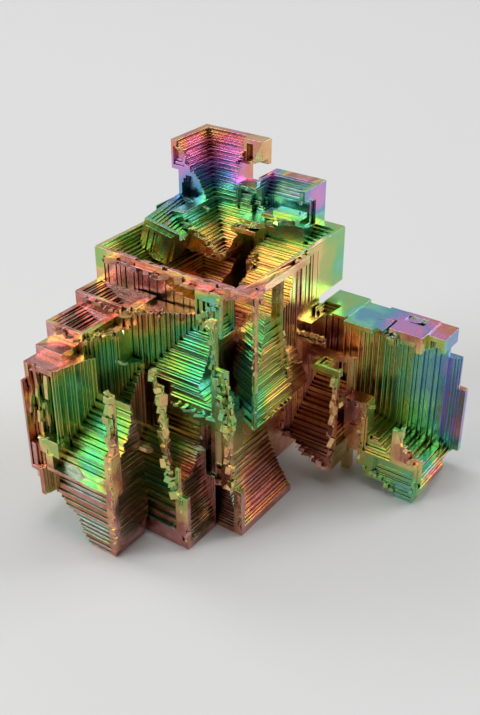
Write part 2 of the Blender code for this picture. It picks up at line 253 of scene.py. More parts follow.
def main_cube():
    """The big upper cube. The middle of its top drops through a deep, ragged pit."""
    rim, far = 0.8, 11.3
    return growth(
        [
            block((CUBE_LEFT, 10.4), (CUBE_FRONT, CUBE_BACK), (CUBE_LOW, CUBE_TOP)),
            block((9.0, CUBE_RIGHT), (CUBE_FRONT, 4.0), (CUBE_LOW, CUBE_TOP)),
            block((9.0, far), (3.0, CUBE_BACK), (36.6, CUBE_TOP)),
            block((CUBE_LEFT - 0.3, -20.0), (-15.0, 16.0), (24.0, 46.5)),
            block((-21.0, 2.0), (17.0, CUBE_BACK + 0.4), (24.0, 46.0)),
            block((-18.0, -8.0), (CUBE_FRONT - 0.6, -14.0), (42.0, 47.0)),
        ],
        [
            hopper(
                "+Z",
                CUBE_TOP,
                (CUBE_LEFT + rim, far - rim),
                (CUBE_FRONT + rim, 17.4),
                13.0,
                (16, 0.4, 2.5, 21.5),
                0.66,
            ),
            hopper("+Z", CUBE_TOP, (-5.5, -3.4), (-12.2, 12.0), 17.0, (0.2, 0.2, 1, 0.2)),
            hopper("+Z", CUBE_TOP, (-5.4, -1.8), (-12.1, 7.0), 18.6, (0.2, 0.2, 1, 0.2)),
            hopper("+Z", CUBE_TOP, (-5.3, -0.2), (-12.0, 2.4), 18.2, (0.2, 0.6, 1, 0.2)),
            hopper("+Z", CUBE_TOP, (-5.2, 1.6), (-11.9, -3.4), 17.2, (0.2, 1.0, 1, 0.2)),
            hopper("+Z", 44.0, (-12.6, 0.0), (-11.8, 1.0), 9.0, (1.0, 1.0, 1.0, 0.3)),
            hopper("+X", 10.4, (12.5, 24.0), (18.0, 36.6), 6.0, (0, 0, 0, 0)),
            hopper(
                "-Y", CUBE_FRONT, (-20.4, 7.6), (25.0, 46.8), 2.6, (27, 0.4, 3, 0.3), 1.35
            ),
            hopper("-Y", CUBE_FRONT, (9.7, 16.0), (16.0, 46.8), 10.0, (0, 0, 0, 0)),
            hopper("+X", CUBE_RIGHT, (-16.5, -4.6), (16.0, 46.8), 5.4, (0, 0, 0, 0)),
            hopper("+X", CUBE_RIGHT, (-16.6, -7.4), (20.4, 46.7), 8.6, (0, 0, 0, 0)),
            hopper("+X", CUBE_RIGHT, (-4.6, 18.6), (23.0, 46.8), 3.6, (0.2, 21, 8, 0.4), 1.0),
            hopper("-X", CUBE_LEFT - 0.3, (-11.5, 13.5), (26.5, 44.0), 8.0, (9, 9, 5, 5)),
            hopper("+Y", CUBE_BACK + 0.4, (-19.0, -7.0), (26.5, 44.0), 8.0, (4, 4, 5, 5)),
            *crumbs((-14.0, -15.4, 48.4), (9.0, -15.4, 48.4), 11, 1.5, 2.2),
            *crumbs((-3.2, 12.0, 45.0), (2.0, -9.0, 37.0), 14, 1.2),
            *crumbs((12.8, -14.0, 48.4), (11.4, 6.0, 48.4), 9, 1.1, 2.0),
        ],
        [
            growth(
                [block((1.6, 7.3), (-16.2, -12.0), (38.0, 46.8))],
                [
                    hopper("-Y", -16.2, (2.0, 6.8), (37.0, 44.6), 1.6, (2.6, 0.3, 3.0, 0.6), 0.8),
                    hopper("+X", 7.3, (-15.6, -12.0), (37.0, 45.6), 1.4, (0.4, 0.4, 4.0, 0.4), 0.8),
                ],
            ),
            block((9.0, 13.6), (-15.6, -12.4), (46.4, 47.9)),
            *crumbs((1.8, -16.2, 40.0), (7.2, -16.2, 45.8), 12, 1.2, 1.2),
            *crumbs((-20.0, -15.4, 46.6), (10.0, -15.4, 46.6), 16, 1.5, 2.6),
            *crumbs((-3.0, 11.6, 43.6), (2.2, -8.0, 37.0), 26, 0.8),
            *crumbs((12.9, -15.0, 47.4), (11.2, 8.0, 47.6), 9, 0.9, 2.0),
            *crumbs((-12.0, 1.2, 43.8), (-5.6, 1.6, 43.8), 7, 0.9),
            *crumbs((-5.6, 1.0, 44.0), (-5.6, 11.0, 45.0), 7, 0.8),
            *crumbs((-5.2, -6.0, 42.0), (-4.0, -2.0, 43.5), 4, 1.6, 3.0),
        ],
    )


def near_spire():
    """The terraced wedge that fills the cube's near corner, with a thin rib up its edge."""
    corner, lean = (14.0, -15.6, 0.0), (0.0, 0.0, -24.0)
    return growth(
        [block((3.4, 14.3), (-15.7, -2.6), (20.8, 47.8))],
        [
            turned(block((-30.0, -0.05), (-20.0, 0.02), (0.0, OPEN)), corner, lean),
            turned(
                hopper("-Y", 0.0, (-30.0, -0.6), (21.8, OPEN), 8.0, (0, 0.4, 25.0, 0), 1.05),
                corner,
                lean,
            ),
            hopper("+Y", -2.6, (0.0, CLEAR), (36.6, OPEN), 12.4, (0, 0, 10.6, 0), 1.05),
            hopper("+X", 14.3, (-14.8, 20.0), (21.2, OPEN), 5.4, (0.3, 0.0, 26.0, 0), 1.05),
            hopper("-X", 3.4, (-20.0, -4.0), (34.0, OPEN), 9.4, (0, 0, 12.6, 0), 1.0),
            hopper("-X", 3.4, (-20.0, -9.0), (0.0, 30.0), 8.6, (0, 0, 0, 9.0), 1.0),
        ],
        [
            *crumbs((14.0, -15.5, 21.0), (14.0, -15.5, 47.0), 22, 0.8, 2.2),
            *crumbs((13.0, -15.0, 47.4), (13.6, -13.0, 46.2), 5, 1.0),
            *crumbs((14.2, -3.0, 21.6), (14.2, -14.0, 20.8), 8, 0.7),
            *crumbs((13.6, -2.8, 22.0), (12.0, -2.8, 35.0), 9, 0.8, 2.0),
        ],
    )


def tower():
    """The back left tower, whose two walls step down and inwards to the middle."""
    shaft_top, foot_top = 57.2, 51.2
    left, left_front, shaft_front, fine = -22.4, 8.1, 9.2, 0.58
    return growth(
        [
            block((left, -10.4), (left_front, 20.0), (56.6, TOWER_TOP)),
            block((-21.6, -10.6), (shaft_front, 19.7), (44.5, shaft_top)),
            block((-12.4, -6.0), (8.0, 19.4), (46.0, 53.0)),
            block((-21.0, -5.4), (1.0, 19.6), (43.0, foot_top)),
        ],
        [
            hopper(
                "+Z", TOWER_TOP, (left + 1.5, CLEAR), (-CLEAR, 18.5), 12.0, (7, 0, 0, 7.4), fine
            ),
            hopper("+Z", foot_top - 0.6, (-14.2, CLEAR), (-CLEAR, 11.8), 6.5, (9, 0, 0, 9), fine),
            hopper("-Y", left_front, (-21.9, -19.2), (57.4, 61.2), 0.9, (0.3, 1.2, 1.2, 0.9), 0.4),
            hopper("-Y", shaft_front, (-20.8, -16.9), (47.0, 53.6), 1.8, (0.5, 0.9, 3, 0), 0.6),
            hopper("-Y", shaft_front, (-20.4, -17.3), (53.0, 54.6), 1.6, (0.4, 0.5, 0.1, 0.3), 0.6),
            hopper("-Y", shaft_front, (-19.8, -18.0), (54.0, 55.3), 1.3, (0.2, 0.3, 0.1, 0.1), 0.6),
            hopper("-Y", 1.0, (-20.0, -5.6), (34.0, 43.9), 3.0, (9.0, 0.3, 0.2, 0.0)),
            *crumbs((-14.0, 1.0, 50.4), (-5.6, 1.0, 44.6), 9, 1.4),
            *crumbs((-20.9, left_front, 62.6), (-17.0, left_front, 57.0), 5, 1.2),
        ],
        [
            growth(
                [block((-11.0, -6.4), (16.8, 20.0), (57.4, TOWER_TOP))],
                [
                    hopper("-Y", 16.8, (-10.2, -8.7), (58.0, 61.6), 1.4, (0.2, 0.2, 0.2, 0.2)),
                    hopper("-Z", 57.4, (-9.4, -4.0), (10.0, 19.0), 1.2, (2.0, 0, 0, 0.4)),
                ],
            ),
            *crumbs((-10.6, 17.0, 60.0), (-12.8, 9.4, 51.5), 12, 0.9, 2.4),
            *crumbs((-20.8, 9.0, 61.4), (-17.4, 9.0, 56.0), 7, 0.9),
            *crumbs((-16.0, 1.3, 50.4), (-6.0, 1.3, 44.0), 10, 1.0),
        ],
    )


def back_block():
    """The blocks at the back of the cube, with two thin leaves of crystal over their front."""
    top, fine = BACK_BLOCK_TOP, 0.62
    return growth(
        [
            block((-5.3, 6.2), (12.6, 20.4), (44.0, top)),
            block((-9.0, -2.2), (11.4, 16.0), (45.0, 55.0)),
        ],
        [
            hopper("+Z", top, (-4.6, 5.2), (6.0, 17.9), 5.4, (0.4, 1.2, 0.3, 3.6), fine),
            hopper("+Z", top, (-7.0, -3.7), (6.0, 13.8), 1.4, (0, 0, 0, 0.5), fine),
            hopper("-Y", 11.4, (-8.6, -2.7), (47.0, 54.4), 2.2, (0.5, 0.3, 5.5, 0.2), fine),
            hopper("+Y", 20.4, (-4.0, 4.6), (46.0, 55.0), 4.0, (2, 2, 2, 2)),
            hopper("+X", 6.2, (13.6, 16.8), (48.6, 53.6), 1.2, (0.4, 1.4, 0.4, 1.4)),
            hopper("+X", -2.2, (12.0, 15.6), (49.0, 54.4), 1.6, (0.4, 0.8, 3.0, 0.4)),
        ],
        [
            block((-1.6, 5.4), (9.4, 13.0), (50.6, 51.4)),
            block((0.4, 6.3), (10.6, 13.4), (51.0, 52.0)),
            block((-5.8, 2.4), (8.0, 12.8), (49.0, 49.9)),
            block((-6.6, -1.0), (6.4, 12.0), (47.6, 48.5)),
            *crumbs((-6.4, 6.8, 48.2), (5.8, 10.0, 51.2), 16, 1.0, 2.4),
            *crumbs((-3.6, 14.4, 56.0), (-3.6, 19.6, 56.1), 5, 0.8, 2.0),
            *crumbs((-8.8, 11.6, 54.6), (-2.4, 11.6, 54.8), 6, 0.8, 2.0),
            *crumbs((5.6, 12.6, 56.2), (5.2, 12.6, 51.5), 6, 0.8),
        ],
    )


def first_frame():
    """The frame just in front of the cube: a flight of terraces with a thin post at its right."""
    front, top = FIRST_FRONT, FIRST_TOP
    return growth(
        [
            block((FRAME_LEFT, -8.4), (front, -14.8), (22.5, top)),
            block((-11.6, 9.9), (front + 0.2, -14.4), (23.0, 40.6)),
            block((-15.0, 9.4), (front + 0.7, -12.4), (10.0, 23.6)),
            block((9.0, 12.4), (front, -18.6), (22.6, 35.6)),
            block((-20.0, 3.0), (-14.8, -12.4), (30.0, 40.3)),
        ],
        [
            hopper("-Y", front, (-11.0, 9.2), (24.6, OPEN), 7.3, (12.7, 0.3, 14.7, 0), 0.98),
            hopper("-Y", front, (-14.0, -0.6), (19.0, 28.4), 5.0, (0.2, 3.5, 0.2, 1.5)),
            hopper("-Y", front + 0.7, (-13.6, 8.4), (6.0, 22.6), 6.6, (7.0, 0.4, 11.0, 0.3), 0.8),
            hopper("+Z", top, (-21.2, -10.0), (-21.1, -15.7), 2.2, (6.5, 0.3, 0.3, 1.5), 0.6),
            hopper("+X", 12.4, (front + 1.0, -17.0), (24.0, OPEN), 2.4, (0.3, 0.3, 9.0, 0)),
            hopper("+X", 9.9, (front + 0.9, -12.0), (26.0, OPEN), 5.0, (0.3, 0.3, 3.0, 0)),
            *crumbs((12.4, front, 36.0), (12.5, front, 24.0), 9, 1.0),
            *crumbs((-10.4, front, 41.2), (-9.0, front, 36.0), 5, 1.2),
        ],
        [
            block((9.1, 9.9), (front, -20.6), (33.0, 43.4)),
            *crumbs((9.5, front, 44.8), (9.6, front, 34.0), 20, 1.0, 1.8),
            *crumbs((7.6, -19.8, 43.0), (9.6, -21.0, 44.0), 6, 1.2),
            *crumbs((10.0, front, 35.6), (12.4, front, 23.5), 18, 1.3, 1.8),
            *crumbs((12.6, front + 0.4, 33.0), (13.6, front + 0.6, 23.0), 12, 0.8),
            *crumbs((-10.0, -21.6, 40.8), (-5.0, -17.2, 40.4), 12, 1.1),
            *crumbs((-20.0, front, 41.0), (-9.4, front, 39.6), 11, 0.9, 2.4),
            *crumbs((-5.2, -20.6, 40.2), (-4.2, -15.6, 40.4), 6, 0.9),
            *crumbs((1.0, front + 0.2, 24.8), (10.0, front + 0.2, 24.8), 8, 0.8, 3.0),
        ],
    )


def second_frame():
    """The middle frame. Its right-hand post leans out to the right as it goes down."""
    front, top = SECOND_FRONT, SECOND_TOP
    return growth(
        [
            block((FRAME_LEFT, -12.8), (front, -21.0), (12.0, top)),
            block((-16.0, -9.6), (front + 0.1, -21.2), (8.0, 37.4)),
            block((-16.0, 5.2), (front + 0.1, -21.2), (8.0, 31.2)),
            block((-10.0, 9.4), (front, -21.4), (0.0, 11.8)),
            block((-8.0, 7.4), (front + 0.2, -21.3), (5.0, 17.4)),
        ],
        [
            hopper("-Y", front, (-13.4, 4.3), (17.0, OPEN), 8.4, (6.5, 0.4, 14, 0), 0.95),
            hopper("-Y", front, (-8.0, 6.6), (3.5, OPEN), 9.6, (1.5, 0.5, 16, 0), 1.0),
            hopper("+X", 9.4, (front + 0.9, -21.6), (1.5, OPEN), 4.4, (0.3, 0.3, 18, 0), 0.62),
            hopper("+X", 5.2, (front + 0.9, -21.6), (17.0, OPEN), 7.0, (0.3, 0.3, 12, 0), 0.62),
            hopper("+Z", top, (-21.4, -14.0), (-29.1, -21.9), 2.2, (6.0, 0.3, 0.4, 0.4), 0.6),
            *crumbs((5.2, front, 31.0), (5.3, front, 18.0), 8, 1.3),
            *crumbs((9.6, front, 6.0), (7.8, front, -0.4), 3, 1.4),
        ],
        [
            *crumbs((-20.0, front, 38.2), (-13.0, front, 37.0), 9, 0.9, 2.4),
            *crumbs((-13.2, -29.4, 37.6), (-9.0, -23.0, 38.0), 13, 1.2),
            *crumbs((-13.0, -24.4, 32.4), (-8.4, -24.4, 31.4), 10, 0.8),
            *crumbs((2.4, front, 37.2), (4.6, front, 31.0), 10, 1.3),
            *crumbs((4.6, front, 32.0), (4.9, front, 17.5), 22, 1.5),
            *crumbs((5.2, front, 17.6), (7.2, front, 11.5), 11, 1.4),
            *crumbs((7.6, front + 0.3, 11.4), (9.2, front + 0.2, 3.0), 8, 0.8),
            *crumbs((-6.0, front + 1.0, 19.0), (3.0, front + 1.0, 18.0), 8, 1.0, 3.0),
        ],
    )


def third_frame():
    """The front frame, with a box on its foot that steps in to a short base."""
    front, foot_front = THIRD_FRONT, THIRD_FRONT - 1.6
    return growth(
        [
            block((-21.2, -14.8), (-34.0, -29.0), (10.0, THIRD_TOP + 1.4)),
            block((-20.6, 0.2), (front, -29.4), (9.0, THIRD_TOP)),
            block((-20.4, -15.6), (foot_front + 0.2, -33.0), (12.0, 31.4)),
            block((-18.2, 0.4), (foot_front, -30.0), (7.0, 14.3)),
            block((-18.2, -14.2), (foot_front, -33.0), (12.0, 17.2)),
            block((-1.3, 0.4), (foot_front, -33.0), (7.0, 22.8)),
            stack("-Z", 8.0, (-18.0, 0.2), (foot_front + 0.1, -29.6), 8.0, (11.5, 0.6, 0.1, 1.5)),
        ],
        [
            hopper("-Y", foot_front, (-14.2, -1.2), (14.4, OPEN), 10.2, (3.6, 0.3, 13.0, 0), 1.05),
            hopper("-Y", front, (-20.0, -14.0), (18.0, 33.6), 1.6, (5.0, 0.0, 0.3, 0.3)),
            hopper("+X", 0.2, (-36.9, -28.2), (9.0, OPEN), 3.4, (0.3, 0.3, 18.0, 0), 0.8),
            hopper("+X", 0.4, (-38.2, -28.2), (2.0, 14.0), 1.2, (0.4, 0.4, 11.0, 0.3), 0.8),
            hopper("-X", -21.2, (-37.0, -30.0), (15.0, 33.0), 3.0, (2, 2, 2, 2)),
            hopper("-Y", foot_front + 0.2, (-20.0, -15.9), (13.0, 30.8), 1.5, (3.4, 0.2, 0.4, 0.4)),
            hopper("-Y", foot_front, (-17.2, -1.5), (0.4, 13.6), 4.6, (1.5, 0.2, 12.4, 0.2), 0.9),
            *crumbs((0.3, front, 34.6), (0.3, front, 24.0), 8, 1.0),
            *crumbs((-17.8, foot_front, 8.0), (-8.0, foot_front, 0.4), 6, 1.2),
        ],
        [
            block((-17.6, -12.8), (foot_front + 0.3, -36.0), (17.0, 20.4)),
            *crumbs((-0.6, front, 35.0), (-0.5, front, 23.0), 20, 1.4),
            *crumbs((-17.0, -38.6, 20.2), (-12.8, -38.0, 19.8), 6, 1.0),
            *crumbs((0.0, foot_front, 22.0), (0.1, foot_front, 1.5), 20, 0.8, 2.0),
            *crumbs((-20.2, front, 33.6), (-14.6, front + 1.4, 33.6), 9, 0.9),
            *crumbs((-19.6, front, 21.0), (-19.4, front, 33.0), 5, 0.9, 7.0),
            *crumbs((-18.0, front + 0.2, 19.0), (-17.6, front + 0.2, 34.0), 5, 0.9, 7.0),
            *crumbs((-16.4, front + 0.6, 20.0), (-16.0, front + 0.8, 34.0), 5, 0.9, 7.0),
        ],
    )


def low_cube():
    """The small cube low down at the front right, open on its front and right faces."""
    front, right = LOW_CUBE_FRONT, LOW_CUBE_RIGHT
    return growth(
        [
            block((4.8, right), (front, -4.0), (0.0, 10.2)),
            block((5.2, 12.2), (front + 0.6, -5.0), (9.6, 23.0)),
            block((8.0, right - 0.6), (-16.0, -4.0), (8.0, 21.0)),
            block((10.8, 12.6), (front - 0.2, -17.5), (9.6, 24.4)),
        ],
        [
            hopper("-Y", front, (5.8, 13.4), (1.2, 9.8), 1.5, (1.4, 0.6, 6.0, 0.2), 0.5),
            hopper("-Y", front - 0.2, (5.6, 10.4), (11.4, OPEN), 4.4, (1, 0.3, 10.5, 0.0), 0.8),
            hopper("+X", right, (front + 1.0, -2.0), (1.6, OPEN), 7.0, (0.4, 0.5, 14, 0), 0.7),
            *crumbs((5.0, front, 10.4), (10.0, front, 10.6), 3, 1.6),
        ],
        [
            *crumbs((11.8, front - 0.2, 24.6), (13.0, front, 10.5), 24, 1.3),
            *crumbs((5.4, front + 0.4, 11.4), (12.0, front + 0.2, 10.4), 12, 1.1),
            *crumbs((14.6, front, 9.4), (14.8, front, 1.0), 9, 0.7, 2.0),
            *crumbs((right - 0.4, -9.0, 10.0), (right - 0.4, -4.4, 8.4), 6, 1.2),
        ],
    )


def arm_root():
    """The open box that carries the arm out of the side of the cube."""
    front = ROOT_FRONT
    return growth(
        [
            block((8.8, 21.2), (front, 9.6), (8.6, 26.6)),
            stack("-Z", 9.0, (8.9, 21.1), (front + 0.1, 9.4), 5.6, (8.6, 0.4, 0.2, 2.0), 0.85),
            block((8.6, 17.0), (9.0, 14.0), (10.0, 24.0)),
            block((5.0, 12.0), (4.0, 18.0), (14.0, 27.0)),
            block((7.0, 12.0), (6.5, 15.5), (24.0, 32.4)),
            block((16.2, 21.8), (front - 0.3, 5.4), (26.0, 27.4)),
        ],
        [
            hopper("-Y", front, (9.6, 20.2), (6.4, 25.8), 8.0, (3, 0.6, 14, 0.5), 0.8),
            hopper("-Y", front, (7.0, 15.0), (17.0, CLEAR), 5.0, (1.0, 1.0, 2.0, 0)),
            hopper("+X", 21.2, (front + 1.0, 9.0), (9.0, OPEN), 3.0, (0.4, 1, 10, 0), 0.8),
            hopper("+Z", 27.4, (16.8, 21.2), (front + 0.2, 5.0), 0.6, (0.8, 0.8, 0.8, 0.8), 0.5),
        ],
        [
            *crumbs((9.0, 4.0, 31.4), (15.0, 7.6, 29.6), 30, 0.9, 1.2),
            *crumbs((10.0, 5.0, 30.0), (20.0, 9.0, 27.6), 34, 0.9, 1.2),
            *crumbs((20.6, front, 26.0), (20.7, front, 6.0), 22, 1.3, 2.0),
            *crumbs((21.0, front + 0.6, 20.0), (21.4, 6.4, 18.0), 10, 1.2),
            *crumbs((9.8, front, 8.6), (19.6, front, 3.8), 15, 1.1, 1.8),
            *crumbs((9.2, front, 26.4), (9.2, front, 9.0), 12, 0.8, 2.0),
            *crumbs((12.8, front, 26.4), (9.2, front, 26.0), 5, 0.9),
        ],
    )


def arm():
    """The right arm: a long back wall of ribs over a hopper that is open to the right."""
    front, back, right, top = ARM_FRONT, ARM_BACK, ARM_RIGHT, ARM_TOP
    return growth(
        [
            block((10.8, 18.0), (10.4, back), (14.0, top)),
            block((17.5, 23.4), (9.4, back - 1.5), (12.0, top - 0.6)),
            block((23.0, 33.6), (11.4, back - 0.7), (4.0, top)),
            block((33.0, 37.0), (14.0, back - 0.2), (2.0, top - 0.4)),
            block((30.0, right - 1.4), (10.0, back + 1.9), (4.0, 26.5)),
            block((28.0, right), (9.4, back + 2.9), (4.5, 19.2)),
            block((26.0, right - 1.2), (front + 0.2, 18.0), (2.0, 10.6)),
            block((24.5, 33.6), (front, 14.0), (4.6, 15.6)),
            block((22.0, 26.0), (front + 0.1, 12.0), (7.4, 13.0)),
            block((27.4, 37.6), (front, 14.0), (2.6, 8.8)),
            block((33.0, right - 2.2), (front, 10.0), (0.0, 8.0)),
            block((33.0, 34.6), (front, 9.6), (8.0, 12.4)),
        ],
        [
            hopper("+X", right - 2.4, (7.2, 19.4), (5.4, OPEN), 20.0, (0.5, 9, 12, 0), 1.0),
            hopper("+X", right, (7.1, 21.8), (2.6, OPEN), 3.4, (0.2, 1.6, 4.4, 0), 0.75),
            hopper("+Z", 20.0, (34.4, 50.0), (7.0, 18.0), 16.0, (3.6, 0, 0, 12), 0.8),
            hopper("-Y", front, (25.4, 31.6), (8.0, OPEN), 6.0, (2.5, 0.6, 7, 0), 0.9),
            hopper("-Y", 10.4, (10.9, 17.4), (20.0, 33.4), 3.4, (5.4, 0.3, 0.2, 0.2), 1.0),
            hopper("-Y", 9.4, (17.6, 23.2), (14.0, 32.6), 3.4, (5.2, 0.3, 6.0, 0.2), 1.0),
            hopper("-Y", 11.4, (23.2, 33.4), (18.0, 33.2), 3.0, (8.6, 0.2, 2.0, 0.2), 1.0),
            hopper("+Z", top, (11.0, 14.6), (9.0, 14.2), 1.6, (0.4, 1.6, 0, 1.2), 0.6),
            hopper("-Y", 14.0, (33.6, 36.4), (28.0, 33.0), 2.0, (0.4, 0.4, 0.4, 0.4), 0.7),
            hopper("+X", right, (17.4, 21.8), (6.0, 17.6), 1.4, (0.3, 2.6, 0.3, 0.3), 0.8),
            hopper("-Y", front, (28.0, 36.8), (1.0, 7.6), 0.8, (0.6, 0.6, 4.8, 0.2), 0.7),
        ],
        [
            block((28.0, 32.9), (7.2, 10.6), (18.6, 19.6)),
            growth(
                [
                    block((26.8, 33.8), (10.9, 19.0), (30.8, top + 0.3)),
                    block((33.0, 37.4), (13.2, 19.2), (31.0, top)),
                ],
                [
                    hopper(
                        "+Z", top + 0.3, (27.7, 31.8), (15.4, 17.9), 1.5, (0.5, 0.5, 0.5, 0.5), 0.5
                    ),
                    hopper("-Y", 10.9, (28.0, 32.6), (29.0, 32.8), 1.6, (0.5, 0.5, 0, 0.5), 0.5),
                    hopper("-Y", 13.2, (34.4, 36.6), (30.0, 33.0), 1.4, (0.4, 0.4, 0, 0.4), 0.5),
                ],
            ),
            growth(
                [block((17.9, 26.0), (9.2, 18.9), (32.9, top - 0.1))],
                [
                    turned(
                        block((0.0, 9.0), (-9.0, 0.0), (0.0, 60.0)),
                        (24.4, 10.4, 0.0),
                        (0.0, 0.0, -20.0),
                    )
                ],
            ),
            block((20.6, 25.4), (6.8, 10.4), (9.0, 18.6)),
            *crumbs((21.6, 7.0, 24.0), (31.0, 9.6, 20.4), 34, 0.8, 1.2),
            *crumbs((23.0, 6.6, 18.0), (30.0, 8.4, 18.8), 16, 0.9, 1.2),
            *crumbs((33.0, front, 13.0), (33.6, front, 16.5), 5, 1.1),
            *crumbs((33.4, 9.0, 32.4), (24.0, 11.2, 33.4), 9, 0.9, 2.0),
            *crumbs((36.8, front, 1.6), (37.4, front, 8.4), 6, 0.8, 2.0),
            *crumbs((34.6, front, 12.4), (37.2, front, 8.8), 5, 1.0),
            *crumbs((24.8, front, 15.4), (24.8, front, 6.0), 8, 0.9, 2.0),
            *crumbs((25.4, front, 5.0), (33.0, front, 1.4), 9, 0.8, 2.0),
        ],
    )


def underside():
    """The mass between the front frames and the arm, under the cube."""
    return growth(
        [
            block((-18.0, 9.0), (-13.0, 14.0), (3.0, 24.0)),
            block((-19.0, -12.6), (-28.6, -12.0), (12.8, 26.0)),
            block((-16.0, -11.0), (8.0, 13.0), (0.0, 5.0)),
            block((19.4, 21.2), (9.0, 10.8), (0.0, 11.0)),
        ],
        [
            hopper("+Y", 14.0, (-15.0, 6.0), (6.0, 22.0), 8.0, (6, 6, 4, 4)),
            hopper("-X", -18.0, (-10.0, 6.5), (5.5, 20.0), 8.0, (6, 6, 4, 4)),
            hopper("-Z", 3.0, (-8.0, 6.6), (-11.0, 5.0), 9.0, (4, 4, 5, 5)),
        ],
    )


def tilted_cube():
    """The one small cube off the lattice, leaning on the left rim of the big cube."""
    cube = growth(
        [block((0.0, 7.4), (-6.6, 6.6), (-6.4, 0.0)), block((0.8, 6.6), (-7.2, 5.0), (-7.2, -1.0))],
        [
            hopper("+Z", 0.0, (0.9, 20.0), (-5.9, 5.9), 2.4, (4.6, 0, 1.0, 1.0), 0.6),
            hopper("-Y", -7.2, (1.6, 5.8), (-6.6, -1.6), 0.8, (1.6, 1.6, 0.3, 0.3), 0.6),
        ],
        [*crumbs((6.8, -6.0, -3.0), (6.8, 4.0, -3.0), 5, 0.9)],
    )
    return turned(cube, (-18.8, 0.4, 52.0), (2.0, 16.0, 9.0))


crystal = main_cube()
for grow in (
    near_spire,
    tower,
    back_block,
    first_frame,
    second_frame,
    third_frame,
    low_cube,
    arm_root,
    arm,
    underside,
    tilted_cube,
):
    boolean(crystal, grow(), "UNION")
crystal.name = "crystal_terraces"
keep_one_shell(crystal)

terrace_tints = random.Random(5)
tint = crystal.data.attributes.new("terrace", "FLOAT", "FACE")
tint.data.foreach_set("value", [terrace_tints.uniform(-1, 1) for _ in crystal.data.polygons])
